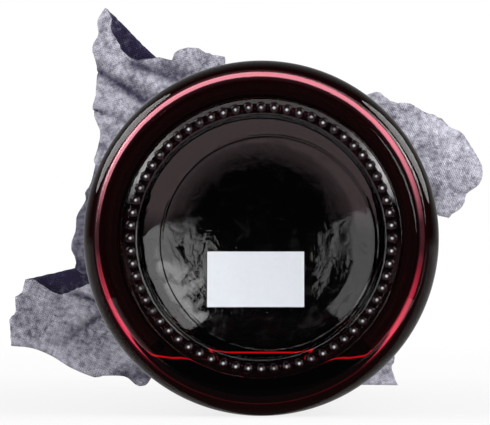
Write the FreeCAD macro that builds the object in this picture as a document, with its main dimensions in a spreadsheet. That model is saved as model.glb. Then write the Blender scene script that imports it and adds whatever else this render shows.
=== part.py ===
import FreeCAD, Part
import math
import os
import Sketcher

# A glass bottle lying on its side, with its stopper, a rest of liquid, a blank price label in the
# push-up and a torn cloth ribbon tied in a bow round the neck. Millimetres.
# The origin is the centre of the standing ring, +Y runs up the bottle's axis from the base to the
# mouth, and +Z is up as the bottle lies.

DIMENSIONS = {
    # Body of the bottle
    "body_radius": 38.5,
    "wall": 3.2,
    "bottle_height": 300,
    "shoulder_start": 182,
    "neck_start": 216,
    "shoulder_radius": 25,
    "neck_radius": 14.2,
    "bore_radius": 9.3,
    # Base of the bottle
    "heel_radius": 7.4,
    "rib_setback": 8.3,
    "rib_width": 4.1,
    "rib_height": 1.2,
    "bead_radius": 1.45,
    "bead_height": 0.6,
    "bead_count": 64,
    "pushup_apex": 11,
    "base_thickness": 4.5,
    "cavity_corner": 5,
    "baffle_setback": 3.1,
    "baffle_offset": 1.7,
    "baffle_turn": 30,
    "baffle_groove": 0.3,
    # Finish of the bottle
    "finish_length": 17,
    "finish_step": 1.2,
    "finish_radius": 15.2,
    "finish_band": 8,
    "lip_radius": 14,
    "lip_round": 1.8,
    "mouth_round": 0.8,
    # Stopper
    "cork_clearance": 0.06,
    "cork_length": 24,
    "cork_chamfer": 1,
    "cork_seat": 4,
    "glue_gap": 0.05,
    "head_gap": 0.1,
    "head_radius": 15.5,
    "head_height": 14,
    "head_round": 4,
    # Liquid
    "liquid_depth": 9.7,
    "liquid_gap": 0.1,
    # Price label
    "label_width": 21,
    "label_height": 12,
    "label_thickness": 0.15,
    "label_left": 1.2,
    "label_drop": 8.9,
    # Ribbon round the neck and its knot
    "soft_gap": 0.3,
    "band_start": 219.5,
    "band_width": 15,
    "band_thickness": 2.6,
    "band_crown": 0.8,
    "knot_width": 17,
    "knot_height": 13,
    "knot_round": 4,
    # Loops of the bow
    "cloth": 1.2,
    "loop_front": 220.5,
    "loop_depth": 9,
    "loop_root": 5,
    "loop_root_width": 15,
    "left_loop_reach": 33,
    "left_loop_rise": 14,
    "left_loop_end_width": 39,
    "left_loop_end_lean": 4,
    "left_loop_fold": 2,
    "left_loop_crown": 6,
    "left_loop_sag": 2,
    "right_loop_reach": 43,
    "right_loop_rise": -7,
    "right_loop_end_width": 23,
    "right_loop_end_lean": 2,
    "right_loop_fold": 5,
    "right_loop_crown": 6,
    "right_loop_sag": 2,
    # Tails of the bow
    "tail_front": 230.5,
    "tail_depth": 2.4,
    "tail_root_width": 20,
    "left_tail_reach": 45,
    "left_tail_root_rise": 0,
    "left_tail_lift": 18.5,
    "left_tail_end_width": 17,
    "left_tail_end_lean": 13,
    "left_tail_crown": 2,
    "left_tail_sag": 18.6,
    "right_tail_reach": 12,
    "right_tail_root_rise": -4,
    "right_tail_lift": 0.3,
    "right_tail_end_width": 10,
    "right_tail_end_lean": 90,
    "right_tail_crown": 2,
    "right_tail_sag": 2,
}

doc = FreeCAD.newDocument("bottle")
sheet = doc.addObject("Spreadsheet::Sheet", "dims")
for row, (alias, value) in enumerate(DIMENSIONS.items(), start=1):
    sheet.set(f"A{row}", alias)
    sheet.set(f"B{row}", str(value))
    sheet.setAlias(f"B{row}", alias)
doc.recompute()

# Sizes that follow from the sheet, as expressions
RIB_OUTER = "(dims.body_radius - dims.rib_setback)"
RIB_INNER = f"({RIB_OUTER} - dims.rib_width)"
BEAD_ROW = f"({RIB_OUTER} - dims.rib_width / 2)"
BAFFLE_RADIUS = f"({RIB_INNER} - dims.baffle_setback)"
RIB_ROOT = "(dims.bead_height + dims.rib_height)"
DOME_RISE = f"(dims.pushup_apex - {RIB_ROOT})"
DOME_RADIUS = f"(({RIB_INNER} ^ 2 + {DOME_RISE} ^ 2) / (2 * {DOME_RISE}))"
DOME_CENTRE = f"(dims.pushup_apex - {DOME_RADIUS})"
CAVITY_RADIUS = "(dims.body_radius - dims.wall)"
FINISH_START = "(dims.bottle_height - dims.finish_length)"
HEAD_BASE = "(dims.bottle_height + dims.head_gap)"
CORK_RADIUS = "(dims.bore_radius - dims.cork_clearance)"
BAND_INNER = "(dims.neck_radius + dims.soft_gap)"
BAND_OUTER = f"({BAND_INNER} + dims.band_thickness + dims.band_crown)"
KNOT_BASE = f"({BAND_OUTER} + dims.soft_gap)"


def amount(text):
    """The number that an expression in the sheet's sizes comes to."""
    return float(sheet.evalExpression(text.replace("dims.", "")))


def bulge_radius(chord, bulge):
    """The radius of an arc that stands bulge high over a chord, as an expression."""
    return f"((({chord}) / 2) ^ 2 + ({bulge}) ^ 2) / (2 * ({bulge}))"


def new_body(label):
    body = doc.addObject("PartDesign::Body", label)
    body.Label = label
    return body


def origin_part(body, role):
    return next(part for part in body.Origin.OriginFeatures if part.Role == role)


def new_sketch(body, name, plane="XY_Plane"):
    sketch = body.newObject("Sketcher::SketchObject", f"{body.Name}_{name}")
    sketch.AttachmentSupport = (origin_part(body, plane), "")
    sketch.MapMode = "FlatFace"
    return sketch


def pin_point(sketch, geometry, point, place):
    """Hold a point at a place given by two expressions."""
    axes = (("DistanceX", -2), ("DistanceY", -1))
    for (kind, axis), text in zip(axes, place):
        if text == "0":
            sketch.addConstraint(Sketcher.Constraint("PointOnObject", geometry, point, axis))
            continue
        rule = Sketcher.Constraint(kind, -1, 1, geometry, point, amount(text))
        sketch.setExpression(f"Constraints[{sketch.addConstraint(rule)}]", text)


def arc_between(start, end, radius, turn):
    """The short arc from start to end. turn is 1 where it turns left on the way, and -1 where right."""
    span = end - start
    side = FreeCAD.Vector(-span.y, span.x, 0).normalize()
    rise = radius - math.sqrt(radius ** 2 - (span.Length / 2) ** 2)
    middle = (start + end) / 2 - side * (turn * rise)
    return Part.Arc(start, middle, end)


def draw_outline(sketch, corners):
    """Draw a closed outline. A corner is its two coordinates, then the radius and turn of an arc to it."""
    places = [FreeCAD.Vector(amount(c[0]), amount(c[1]), 0) for c in corners]
    ends = []
    for index, corner in enumerate(corners):
        start, end = places[index - 1], places[index]
        if len(corner) == 2:
            sketch.addGeometry(Part.LineSegment(start, end), False)
            ends.append((1, 2))
            continue
        sketch.addGeometry(arc_between(start, end, amount(corner[2]), corner[3]), False)
        ends.append((1, 2) if corner[3] > 0 else (2, 1))
    for index, corner in enumerate(corners):
        following = (index + 1) % len(corners)
        joint = (index, ends[index][1], following, ends[following][0])
        sketch.addConstraint(Sketcher.Constraint("Coincident", *joint))
        pin_point(sketch, index, ends[index][1], corner[:2])
        if len(corner) > 2:
            rule = Sketcher.Constraint("Radius", index, amount(corner[2]))
            sketch.setExpression(f"Constraints[{sketch.addConstraint(rule)}]", corner[2])


def turned(body, name, corners, kind="PartDesign::Revolution"):
    """A feature turned round the bottle's axis from an outline of radius and height."""
    sketch = new_sketch(body, f"{name}_outline")
    draw_outline(sketch, corners)
    feature = body.newObject(kind, f"{body.Name}_{name}")
    feature.Profile = sketch
    feature.ReferenceAxis = (sketch, ["V_Axis"])
    feature.Angle = 360
    doc.recompute()
    return feature


def s_curve(wide, narrow, low, high, radius):
    """Corners of a shoulder: an arc of radius, then the hollow arc that brings it upright at narrow."""
    run = f"({wide} - {narrow})"
    rise = f"({high} - {low})"
    both = f"(({run} ^ 2 + {rise} ^ 2) / (2 * {run}))"
    meet = (f"{wide} - {radius} * {run} / {both}", f"{low} + {radius} * {rise} / {both}")
    return [(*meet, radius, 1), (narrow, high, f"{both} - {radius}", -1)]


def cavity_outline(gap):
    """The inside of the bottle, held back from the glass by gap."""
    radius = f"({CAVITY_RADIUS} - {gap})"
    corner_start = f"({radius} - dims.cavity_corner)"
    floor_radius = f"({DOME_RADIUS} + dims.base_thickness + {gap})"
    floor_edge = f"({DOME_CENTRE} + sqrt({floor_radius} ^ 2 - {corner_start} ^ 2))"
    bore = f"(dims.bore_radius - {gap})"
    shoulder = "(dims.shoulder_radius - dims.wall)"
    return [
        ("0", f"dims.pushup_apex + dims.base_thickness + {gap}"),
        (corner_start, floor_edge, floor_radius, -1),
        (radius, f"{floor_edge} + dims.cavity_corner", "dims.cavity_corner", 1),
        (radius, "dims.shoulder_start"),
        *s_curve(radius, bore, "dims.shoulder_start", "dims.neck_start", shoulder),
    ]


def bottle_body():
    body = new_body("bottle_body")
    rib = bulge_radius("dims.rib_width", "dims.rib_height")
    lip_edge = "dims.bottle_height - dims.lip_round"
    band_top = f"{FINISH_START} + dims.finish_step + dims.finish_band"
    turned(body, "glass", [
        ("0", "dims.pushup_apex"),
        (RIB_INNER, RIB_ROOT, DOME_RADIUS, -1),
        (RIB_OUTER, RIB_ROOT, rib, 1),
        ("dims.body_radius - dims.heel_radius", RIB_ROOT),
        ("dims.body_radius", f"{RIB_ROOT} + dims.heel_radius", "dims.heel_radius", 1),
        ("dims.body_radius", "dims.shoulder_start"),
        *s_curve("dims.body_radius", "dims.neck_radius", "dims.shoulder_start", "dims.neck_start",
                 "dims.shoulder_radius"),
        ("dims.neck_radius", FINISH_START),
        ("dims.finish_radius", f"{FINISH_START} + dims.finish_step"),
        ("dims.finish_radius", band_top),
        ("dims.lip_radius", f"{band_top} + dims.finish_step"),
        ("dims.lip_radius", lip_edge),
        ("dims.lip_radius - dims.lip_round", "dims.bottle_height", "dims.lip_round", 1),
        ("0", "dims.bottle_height"),
    ])
    turned(body, "cavity", cavity_outline("0") + [
        ("dims.bore_radius", "dims.bottle_height - dims.mouth_round"),
        ("dims.bore_radius + dims.mouth_round", "dims.bottle_height", "dims.mouth_round", -1),
        ("0", "dims.bottle_height"),
    ], "PartDesign::Groove")
    baffle_mark(body)
    standing_ring(body)
    return body


def baffle_mark(body):
    """The round groove that the mould's baffle leaves in the push-up, a little off centre."""
    mark = body.newObject("PartDesign::SubtractiveTorus", "baffle_mark")
    reach = f"sqrt({DOME_RADIUS} ^ 2 - {BAFFLE_RADIUS} ^ 2)"
    tilt = f"asin(dims.baffle_offset / ({reach}))"
    mark.setExpression("Radius1", BAFFLE_RADIUS)
    mark.setExpression("Radius2", "dims.baffle_groove")
    aside = {"x": "cos(dims.baffle_turn)", "z": "-sin(dims.baffle_turn)"}
    for axis, share in aside.items():
        mark.setExpression(f"Placement.Base.{axis}", f"dims.baffle_offset * {share}")
    mark.setExpression("Placement.Base.y", f"{DOME_CENTRE} + ({reach}) * cos({tilt})")
    upright = FreeCAD.Rotation(FreeCAD.Vector(0, 0, 1), baffle_normal(reach))
    mark.Placement = FreeCAD.Placement(mark.Placement.Base, upright)
    doc.recompute()


def baffle_normal(reach):
    """The way out of the baffle mark's circle, from the centre of the push-up's sphere."""
    offset = amount("dims.baffle_offset")
    turn = math.radians(amount("dims.baffle_turn"))
    along = math.sqrt(amount(reach) ** 2 - offset ** 2)
    return FreeCAD.Vector(offset * math.cos(turn), along, -offset * math.sin(turn))


def standing_ring(body):
    """The row of stipple bumps that the bottle stands on. Their worn tips run together in one flat ring."""
    sketch = new_sketch(body, "bead_outline", "XZ_Plane")
    centre = FreeCAD.Vector(amount(BEAD_ROW), 0, 0)
    circle = Part.Circle(centre, FreeCAD.Vector(0, 0, 1), amount("dims.bead_radius"))
    sketch.addGeometry(circle, False)
    pin_point(sketch, 0, 3, (BEAD_ROW, "0"))
    rule = Sketcher.Constraint("Radius", 0, amount("dims.bead_radius"))
    sketch.setExpression(f"Constraints[{sketch.addConstraint(rule)}]", "dims.bead_radius")
    bead = body.newObject("PartDesign::Pad", "bead")
    bead.Profile = sketch
    bead.setExpression("Length", RIB_ROOT)
    bead.Reversed = True
    doc.recompute()
    ring = body.newObject("PartDesign::PolarPattern", "standing_ring")
    ring.Originals = [bead]
    ring.Axis = (origin_part(body, "Y_Axis"), [""])
    ring.Angle = 360
    ring.setExpression("Occurrences", "dims.bead_count")
    body.Tip = ring
    doc.recompute()


def liquid():
    """What is left in the bottle as it lies: the low side of the inside, up to the level."""
    body = new_body("liquid")
    inside = cavity_outline("dims.liquid_gap")
    turned(body, "inside", inside + [("0", "dims.neck_start")])
    sketch = new_sketch(body, "above_outline", "XZ_Plane")
    level = f"dims.liquid_depth - {CAVITY_RADIUS}"
    draw_outline(sketch, [
        (f"-{CAVITY_RADIUS}", level),
        (CAVITY_RADIUS, level),
        (CAVITY_RADIUS, CAVITY_RADIUS),
        (f"-{CAVITY_RADIUS}", CAVITY_RADIUS),
    ])
    above = body.newObject("PartDesign::Pocket", "above")
    above.Profile = sketch
    above.Type = "ThroughAll"
    above.Midplane = True
    doc.recompute()
    return body


def price_label():
    """A paper rectangle that follows the push-up, just clear of the glass by its glue."""
    skins = {}
    for name, inset in (("back", "dims.glue_gap"), ("face", "dims.glue_gap + dims.label_thickness")):
        skin = doc.addObject("Part::Sphere", f"label_{name}")
        skin.setExpression("Radius", f"{DOME_RADIUS} - ({inset})")
        skin.setExpression("Placement.Base.y", DOME_CENTRE)
        skins[name] = skin
    sheet_of_paper = doc.addObject("Part::Cut", "label_paper")
    sheet_of_paper.Base = skins["back"]
    sheet_of_paper.Tool = skins["face"]
    cutter = doc.addObject("Part::Box", "label_edges")
    cutter.setExpression("Length", "dims.label_width")
    cutter.setExpression("Width", "dims.pushup_apex")
    cutter.setExpression("Height", "dims.label_height")
    cutter.setExpression("Placement.Base.x", "-dims.label_left - dims.label_width / 2")
    cutter.setExpression("Placement.Base.z", "-dims.label_drop - dims.label_height / 2")
    label = doc.addObject("Part::Common", "price_label")
    label.Base = sheet_of_paper
    label.Tool = cutter
    label.Label = "price_label"
    doc.recompute()
    return label


def stopper_cork():
    body = new_body("stopper_cork")
    foot = "(dims.bottle_height - dims.cork_length)"
    top = f"{HEAD_BASE} + dims.cork_seat"
    turned(body, "shank", [
        ("0", foot),
        (f"{CORK_RADIUS} - dims.cork_chamfer", foot),
        (CORK_RADIUS, f"{foot} + dims.cork_chamfer"),
        (CORK_RADIUS, top),
        ("0", top),
    ])
    return body


def stopper_head():
    body = new_body("stopper_head")
    top = f"({HEAD_BASE} + dims.head_height)"
    seat_radius = f"{CORK_RADIUS} + dims.glue_gap"
    seat_top = f"{HEAD_BASE} + dims.cork_seat + dims.glue_gap"
    turned(body, "knob", [
        ("0", seat_top),
        (seat_radius, seat_top),
        (seat_radius, HEAD_BASE),
        ("dims.head_radius - dims.cork_chamfer", HEAD_BASE),
        ("dims.head_radius", f"{HEAD_BASE} + dims.cork_chamfer"),
        ("dims.head_radius", f"{top} - dims.head_round"),
        ("dims.head_radius - dims.head_round", top, "dims.head_round", 1),
        ("0", top),
    ])
    return body


def ribbon_neck_band():
    body = new_body("ribbon_neck_band")
    band_end = "dims.band_start + dims.band_width"
    edge = f"{BAND_INNER} + dims.band_thickness"
    crown = bulge_radius("dims.band_width", "dims.band_crown")
    turned(body, "wrap", [
        (BAND_INNER, "dims.band_start"),
        (edge, "dims.band_start"),
        (edge, band_end, crown, 1),
        (BAND_INNER, band_end),
    ])
    return body


def ribbon_knot():
    body = new_body("ribbon_knot")
    sketch = new_sketch(body, "outline", "XZ_Plane")
    half = "dims.knot_width / 2"
    top = f"{KNOT_BASE} + dims.knot_height"
    shoulder = f"{top} - dims.knot_round"
    draw_outline(sketch, [
        (f"-{half}", KNOT_BASE),
        (half, KNOT_BASE),
        (half, shoulder),
        (f"{half} - dims.knot_round", top, "dims.knot_round", 1),
        (f"-{half} + dims.knot_round", top),
        (f"-{half}", shoulder, "dims.knot_round", 1),
    ])
    lump = body.newObject("PartDesign::Pad", "lump")
    lump.Profile = sketch
    lump.setExpression("Length", "dims.band_width")
    lump.Reversed = True
    body.setExpression("Placement.Base.y", "dims.band_start")
    doc.recompute()
    return body


def chord(start, end):
    """The distance between two corners, as an expression."""
    return f"sqrt((({end[0]}) - ({start[0]})) ^ 2 + (({end[1]}) - ({start[1]})) ^ 2)"


def lobe(label, root, run, rise):
    """A flat lobe of cloth that faces the base. root is its place, and run and rise lead to its end."""
    body = new_body(label)
    kind, side = label.split("_")[1:]
    size = f"dims.{side}_{kind}"
    turn = 1 if side == "right" else -1
    root_half = f"dims.{kind}_root_width / 2"
    lean_x = f"{size}_end_width / 2 * sin({size}_end_lean)"
    lean_z = f"{size}_end_width / 2 * cos({size}_end_lean)"
    root_low = ("0", f"-{root_half}")
    root_high = ("0", root_half)
    end_low = (f"{run} - {lean_x}", f"{rise} - {lean_z}")
    end_high = (f"{run} + {lean_x}", f"{rise} + {lean_z}")
    under = bulge_radius(chord(root_low, end_low), f"{size}_sag")
    over = bulge_radius(chord(root_high, end_high), f"{size}_crown")
    tip = (bulge_radius(f"{size}_end_width", f"{size}_fold"), turn) if kind == "loop" else ()
    sketch = new_sketch(body, "outline", "XZ_Plane")
    draw_outline(sketch, [
        root_low,
        (*end_low, under, turn),
        (*end_high, *tip),
        (*root_high, over, turn),
    ])
    cloth = body.newObject("PartDesign::Pad", f"{label}_cloth")
    cloth.Profile = sketch
    cloth.setExpression("Length", f"dims.{kind}_depth")
    cloth.Reversed = True
    if kind == "loop":
        open_loop(body, run, turn)
    for axis, place in zip("xyz", (root[0], f"dims.{kind}_front", root[1])):
        body.setExpression(f"Placement.Base.{axis}", place)
    doc.recompute()
    return body


def open_loop(body, run, turn):
    """Hollow a loop from edge to edge, so that two layers of cloth are left, joined at the fold."""
    sketch = new_sketch(body, "hollow_outline")
    back = "dims.loop_depth - dims.cloth"
    start = f"{turn} * dims.loop_root"
    fold = f"{run} - {turn} * dims.cloth"
    draw_outline(sketch, [(start, "dims.cloth"), (fold, "dims.cloth"), (fold, back), (start, back)])
    hollow = body.newObject("PartDesign::Pocket", f"{body.Name}_hollow")
    hollow.Profile = sketch
    hollow.Type = "ThroughAll"
    hollow.Midplane = True


def bow():
    """The four free lobes of the ribbon: loops at the knot's sides, tails at the neck band's sides."""
    lobes = []
    for side, sign in (("left", "-"), ("right", "")):
        loop = f"dims.{side}_loop"
        loop_root = (f"{sign}(dims.knot_width / 2 + dims.soft_gap)", f"{KNOT_BASE} + dims.knot_height / 2")
        lobes.append(lobe(f"ribbon_loop_{side}", loop_root, f"{sign}{loop}_reach", f"{loop}_rise"))
        tail = f"dims.{side}_tail"
        tail_root = (f"{sign}({BAND_OUTER} + dims.soft_gap)", f"{tail}_root_rise")
        drop = f"{tail}_lift - dims.body_radius - {tail}_root_rise"
        lobes.append(lobe(f"ribbon_tail_{side}", tail_root, f"{sign}{tail}_reach", drop))
    return lobes


pieces = [
    bottle_body(),
    liquid(),
    price_label(),
    stopper_cork(),
    stopper_head(),
    ribbon_neck_band(),
    ribbon_knot(),
    *bow(),
]
doc.recompute()

for item in doc.Objects:
    if "Invalid" in item.State or "Error" in item.State:
        raise RuntimeError(f"{item.Name} did not recompute: {item.State}")
for piece in pieces:
    if piece.Shape.isNull() or not piece.Shape.isValid():
        raise RuntimeError(f"{piece.Label} has no valid shape")

os.makedirs("parts", exist_ok=True)
for piece in pieces:
    piece.Shape.exportStep(f"parts/{piece.Label}.step")
    box = piece.Shape.BoundBox
    print(f"{piece.Label}: {len(piece.Shape.Solids)} solid, {piece.Shape.Volume:.1f} mm3")
    for axis in "XYZ":
        print(f"  {axis} {getattr(box, axis + 'Min'):.2f} to {getattr(box, axis + 'Max'):.2f}")
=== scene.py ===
import math

import bmesh
import bpy
import numpy as np
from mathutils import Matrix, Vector, noise
from mathutils.geometry import delaunay_2d_cdt


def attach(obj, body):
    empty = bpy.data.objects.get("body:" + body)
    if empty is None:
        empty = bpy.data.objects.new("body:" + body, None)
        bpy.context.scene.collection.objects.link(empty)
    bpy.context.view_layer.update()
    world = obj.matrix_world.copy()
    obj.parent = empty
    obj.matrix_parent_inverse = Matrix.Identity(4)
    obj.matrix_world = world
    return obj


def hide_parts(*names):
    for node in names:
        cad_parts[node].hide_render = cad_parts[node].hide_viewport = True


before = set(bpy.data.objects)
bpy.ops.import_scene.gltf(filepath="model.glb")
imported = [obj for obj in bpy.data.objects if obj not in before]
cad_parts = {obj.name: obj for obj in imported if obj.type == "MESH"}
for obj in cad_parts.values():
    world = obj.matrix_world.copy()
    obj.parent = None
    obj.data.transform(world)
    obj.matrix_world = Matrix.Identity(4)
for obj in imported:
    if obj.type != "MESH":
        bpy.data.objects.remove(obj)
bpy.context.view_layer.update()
MM = 0.001

# Glass bottle
# Deep ruby glass, blown in a mould, near black wherever it is thick. A domed push-up is pressed into its
# base, and a rib round the push-up carries the row of stipple bumps that the bottle stands on.


class Value:
    """One output of a node. Arithmetic on values adds Math nodes to their tree."""

    def __init__(self, tree, socket):
        self.tree = tree
        self.socket = socket

    def math(self, operation, *others):
        return add_node(self.tree, "ShaderNodeMath", (self, *others), operation=operation)

    def after(self, operation, other):
        return add_node(self.tree, "ShaderNodeMath", (other, self), operation=operation)

    def __add__(self, other):
        return self.math("ADD", other)

    def __radd__(self, other):
        return self.after("ADD", other)

    def __sub__(self, other):
        return self.math("SUBTRACT", other)

    def __rsub__(self, other):
        return self.after("SUBTRACT", other)

    def __mul__(self, other):
        return self.math("MULTIPLY", other)

    def __rmul__(self, other):
        return self.after("MULTIPLY", other)

    def __truediv__(self, other):
        return self.math("DIVIDE", other)

    def __rtruediv__(self, other):
        return self.after("DIVIDE", other)

    def at_most(self, other):
        return self.math("MINIMUM", other)

    def at_least(self, other):
        return self.math("MAXIMUM", other)

    def under(self, other):
        return self.math("LESS_THAN", other)

    def ramp(self, start, end):
        """0 up to the start, 1 from the end on, and even between. The end may be the lower of the two."""
        return add_node(self.tree, "ShaderNodeMapRange", [self, start, end])

    def parts(self):
        """The three parts of a vector."""
        split = add_node(self.tree, "ShaderNodeSeparateXYZ", [self])
        return [Value(self.tree, output) for output in split.socket.node.outputs]


def add_node(tree, kind, sockets=(), output=0, **settings):
    """Add a node with its settings, then its sockets' values or links, by place or by name."""
    node = tree.nodes.new(kind)
    for name, setting in settings.items():
        setattr(node, name, setting)
    pairs = sockets.items() if isinstance(sockets, dict) else enumerate(sockets)
    for key, item in pairs:
        if isinstance(item, Value):
            tree.links.new(item.socket, node.inputs[key])
        else:
            node.inputs[key].default_value = item
    return Value(tree, node.outputs[output]) if node.outputs else node


def blend(share, first, second):
    """A colour that goes from the first to the second as the share goes from 0 to 1."""
    colours = {0: share, 6: first, 7: second}
    return add_node(share.tree, "ShaderNodeMix", colours, output=2, data_type="RGBA")


def speckle(place, scale, detail, distortion=0):
    """Cloudy noise from 0 to 1 over a surface, finer with a larger scale."""
    return add_node(place.tree, "ShaderNodeTexNoise", {
        "Vector": place,
        "Scale": scale,
        "Detail": detail,
        "Distortion": distortion,
    })


def relief(height, strength, depth):
    """The normal of a skin that rises and falls with a height from 0 to 1."""
    return add_node(height.tree, "ShaderNodeBump", {
        "Height": height,
        "Strength": strength,
        "Distance": depth,
    })


def new_material(name):
    """A material with an empty tree. Returns the material and its tree."""
    material = bpy.data.materials.new(name)
    material.use_nodes = True
    material.node_tree.nodes.clear()
    return material, material.node_tree


def finish_material(tree, sockets, volume=None):
    """End a tree in a Principled shader with these sockets, and a volume if there is one."""
    surface = add_node(tree, "ShaderNodeBsdfPrincipled", sockets)
    ends = {"Surface": surface}
    if volume:
        ends["Volume"] = volume
    add_node(tree, "ShaderNodeOutputMaterial", ends)


def arc(centre, radius, start, end, steps):
    """Points on an arc, by angles in degrees."""
    angles = np.radians(np.linspace(start, end, steps + 1))
    return [(centre[0] + radius * math.cos(a), centre[1] + radius * math.sin(a)) for a in angles]


inside_lean = Vector((-0.28, 0, 0.2))


def lathe(name, outline, turns, leans, marks=None):
    """A mesh turned round the bottle's axis from an outline of radius and height in millimetres. Each point
    has its share of the inside's lean off the axis, and may have a mark, kept as an attribute, where the
    inside is painted black for shade."""
    mesh = bpy.data.meshes.new(name)
    build = bmesh.new()
    painted_dark = build.verts.layers.float.new("painted_dark")
    rings = []
    for index, (radius, height) in enumerate(outline):
        ring = []
        for step in range(turns):
            angle = 2 * math.pi * step / turns
            place = Vector((radius * math.cos(angle), height, radius * math.sin(angle)))
            corner = build.verts.new((place + leans[index] * inside_lean) * MM)
            corner[painted_dark] = marks[index] if marks else 0
            ring.append(corner)
        rings.append(ring)
    for ring, following in zip(rings, rings[1:]):
        for step in range(turns):
            after = (step + 1) % turns
            build.faces.new((ring[step], ring[after], following[after], following[step]))
    bmesh.ops.remove_doubles(build, verts=build.verts, dist=1e-7)
    bmesh.ops.recalc_face_normals(build, faces=build.faces)
    build.to_mesh(mesh)
    build.free()
    return place_mesh(name, mesh)


def place_mesh(name, mesh):
    """A smooth object at the origin with this mesh."""
    mesh.polygons.foreach_set("use_smooth", [True] * len(mesh.polygons))
    item = bpy.data.objects.new(name, mesh)
    bpy.context.scene.collection.objects.link(item)
    return item


white = (1, 1, 1, 1)
black = (0, 0, 0, 1)
ruby = (0.85, 0.0, 0.17, 1)
ruby_density = 200
# A faint red painted glow on the dark inside walls in the barrel, standing in for light in the red glass.
painted_glow_red = (0.005, 0.0014, 0.0016, 1)
swirl_share = 0.04
ragged_share = 0.34
skin_depth = 0.8 * MM


def ruby_glass():
    """Glass that swallows green and blue first, with a slightly uneven fire-polished skin. The push-up is
    rougher and duller, with a film low on its left. The inside surfaces are painted black, a painted shade
    that keeps the bottle dark within, and in the barrel they have a faint painted red glow."""
    material, tree = new_material("ruby_glass")
    place = add_node(tree, "ShaderNodeTexCoord", output="Object")
    flat = add_node(tree, "ShaderNodeVectorMath", [place, (1, 0, 1)], operation="MULTIPLY")
    off_axis = add_node(tree, "ShaderNodeVectorMath", [flat], output="Value", operation="LENGTH")
    side, height, rise = place.parts()
    on_base = height.under(push_up_apex * 1.1 * MM)
    in_push_up = off_axis.ramp(20.67 * MM, 16.77 * MM) * on_base
    uneven = in_push_up * (0.15 + 0.85 * rise.ramp(5.4 * MM, -4.8 * MM))
    swirl = speckle(place, 90, 4, 1.5) * (swirl_share + (1 - swirl_share) * uneven)
    ragged = speckle(place, 330, 3, 1.5) * ragged_share * uneven
    smear = speckle(place, 230, 6, 1.0)
    in_base = off_axis.ramp(23.8 * MM, 22.8 * MM) * on_base
    dull = (0.06 + 0.18 * smear.ramp(0.525, 0.615)) * in_base
    low_left = (-2.9 - rise / (4 * MM) - side / (9 * MM)).at_least(0.08).at_most(0.8)
    film = smear.ramp(0.4167, 0.5833) * low_left * in_base
    # Painted shade: a black base colour on the marked inside surfaces.
    painted_dark = add_node(tree, "ShaderNodeAttribute", output="Fac", attribute_name="painted_dark")
    # Painted glow where the dark inside walls lie out by the barrel.
    painted_glow_zone = painted_dark * off_axis.ramp(32 * MM, 33 * MM)
    depth = add_node(tree, "ShaderNodeVolumeAbsorption", {"Color": ruby, "Density": ruby_density})
    finish_material(tree, {
        "Base Color": blend(painted_dark, white, black),
        "Roughness": 0.02 + dull,
        "IOR": 1.52,
        "Transmission Weight": 1.0,
        "Coat Weight": film,
        "Coat Roughness": 0.05,
        "Coat IOR": 1.8,
        "Emission Color": blend(painted_glow_zone, black, painted_glow_red),
        "Emission Strength": 1.0,
        "Normal": relief(swirl + ragged, 1.0, skin_depth),
    }, depth)
    return material


body_radius = 38.5
cavity_radius = 35.3
cavity_corner = 5
barrel_top = 182
shoulder_centre = (13.5, barrel_top)
shoulder_radius = 25
inner_shoulder = 21.8
neck_start = 216
neck_radius = 14.2
neck_centre = (25.14, neck_start)
neck_sweep = 10.94
bore_radius = 9.3
bore_centre = (22.73, neck_start)
bore_sweep = 13.43
rib_inner = 26.1
row_radius = 28.15
rib_root = 1.8
rib_height = 1.2
rib_crest = rib_root - rib_height
flank_start = (28.95, 0.69)
flank_slope = 0.86
heel_radius = 7.4
push_up_apex = 11
push_up_rise = push_up_apex - rib_root
push_up_radius = (rib_inner ** 2 + push_up_rise ** 2) / (2 * push_up_rise)
base_thickness = 4.5
inner_push_up = push_up_radius + base_thickness
painted_dark_start = 12
painted_dark_reach = 30
painted_dark_low = -18
bottle_turns = 512


def push_up(radius, sphere):
    """The height of the push-up's outside, or of its inside with the larger sphere."""
    return push_up_apex - push_up_radius + math.sqrt(sphere ** 2 - radius ** 2)


def rib(radius):
    """The rib's inner side: rounded up from the push-up to the flat top."""
    share = 1 - (radius - rib_inner) / (row_radius - rib_inner)
    return rib_root - rib_height * (1 - share ** 4)


corner_start = cavity_radius - cavity_corner
corner_centre = (corner_start, push_up(corner_start, inner_push_up) + cavity_corner)
dome_steps = [*np.linspace(0, 20, 9), *np.linspace(20.6, 25.6, 26)]
glass_outline = [(r, push_up(r, push_up_radius)) for r in dome_steps]
glass_outline += [(r, rib(r)) for r in np.linspace(rib_inner, row_radius, 14)]
glass_outline += [(28.75, rib_crest), (28.85, 0.63), flank_start]
for r in np.linspace(29.05, 30.05, 7):
    glass_outline.append((r, flank_start[1] + flank_slope * (r - flank_start[0])))
glass_outline += [(30.2, 1.71), (30.45, 1.79)]
glass_outline += arc((body_radius - heel_radius, rib_root + heel_radius), heel_radius, -90, 0, 14)
glass_outline += [(body_radius, 60), (body_radius, 120)]
glass_outline += arc(shoulder_centre, shoulder_radius, 0, 71.1, 9)
glass_outline += arc(neck_centre, neck_sweep, -108.9, -180, 6)
glass_outline += [(neck_radius, 250), (neck_radius, 282.6)]
glass_outline += [(14.35, 283.2), (14.9, 283.8), (15.15, 284.3), (15.2, 285), (15.2, 291.4)]
glass_outline += [(15.05, 292.2), (14.5, 292.9), (14.1, 293.5), (14, 294.2)]
glass_outline += arc((12.2, 298.2), 1.8, 0, 90, 5)
glass_outline += arc((10.1, 299.2), 0.8, 90, 180, 4)
inside_outline = [(bore_radius, 270), (bore_radius, 235)]
inside_outline += arc(bore_centre, bore_sweep, 180, 254.9, 6)
inside_outline += arc(shoulder_centre, inner_shoulder, 74.9, 0, 9)
inside_outline += [(cavity_radius, y) for y in (100, 30, painted_dark_start + 0.5, painted_dark_start)]
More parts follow.
